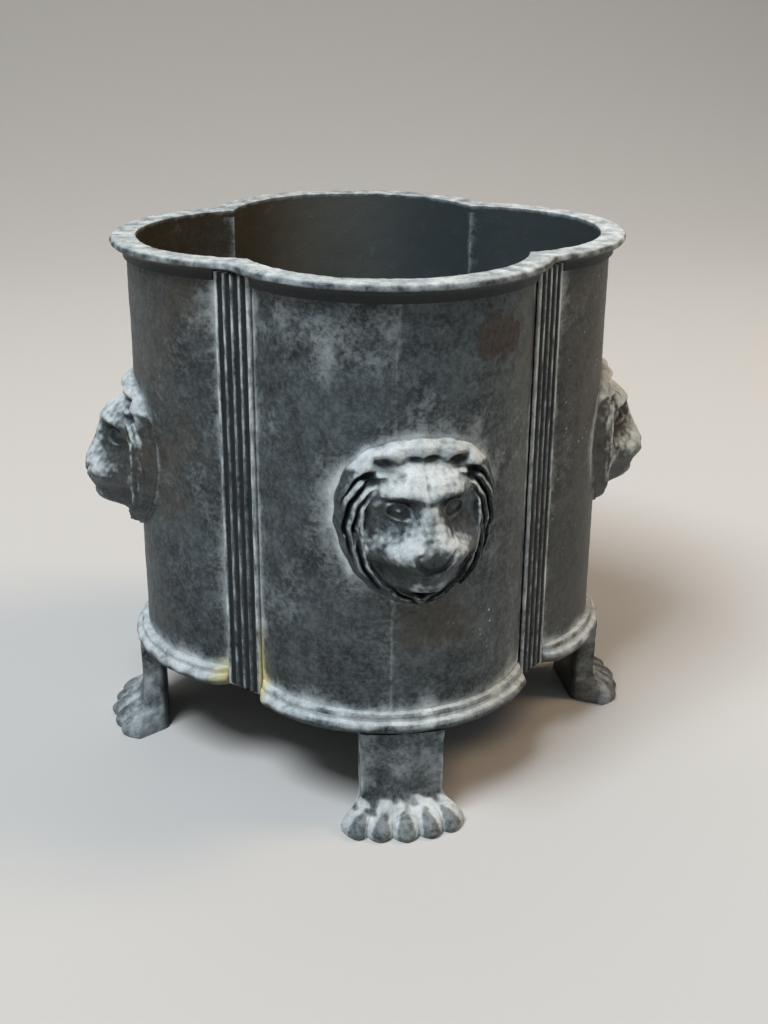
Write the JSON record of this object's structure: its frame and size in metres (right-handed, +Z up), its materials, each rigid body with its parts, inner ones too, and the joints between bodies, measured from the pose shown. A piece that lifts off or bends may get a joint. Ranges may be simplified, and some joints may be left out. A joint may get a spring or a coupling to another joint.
{
  "type": "floor planter",
  "caption": "Free-standing quatrefoil cast planter with an overhanging rim, reeded corner strips, lion masks on the lobes and paw feet; holds soil or a potted plant.",
  "frame": {"origin": "on the floor below the middle of the planter", "axes": "+Z up along the planter's axis, -Y towards the front lobe, +X to the right seen from the front"},
  "size_m": [0.3458, 0.3458, 0.31],
  "materials": {
    "wall_casting": "dark blue-grey weathered casting with a pale bloom",
    "rim_casting": "dark blue-grey weathered casting, rubbed on the edge",
    "base_casting": "dark blue-grey weathered casting, chalky on the beads",
    "strip_casting": "dark blue-grey weathered casting, chalky on the reeds",
    "mask_casting": "dark blue-grey weathered casting, chalky on the raised parts",
    "foot_casting": "dark blue-grey weathered casting, chalky between the toes",
    "fixings": "dark rusted iron"
  },
  "bodies": {
    "root": {"base": "base_casting", "front_wall": "wall_casting", "right_wall": "wall_casting", "back_wall": "wall_casting", "left_wall": "wall_casting", "front_left_strip": "strip_casting", "front_right_strip": "strip_casting", "back_right_strip": "strip_casting", "back_left_strip": "strip_casting", "rim": "rim_casting", "front_mask": "mask_casting", "right_mask": "mask_casting", "back_mask": "mask_casting", "left_mask": "mask_casting", "front_foot": "foot_casting", "right_foot": "foot_casting", "back_foot": "foot_casting", "left_foot": "foot_casting", "strip_studs": "fixings", "strip_saddles": "fixings", "strip_nuts": "fixings", "mask_studs": "fixings", "mask_washers": "fixings", "mask_nuts": "fixings", "foot_bolts": "fixings", "foot_washers": "fixings", "foot_nuts": "fixings"}
  },
  "joints": []
}
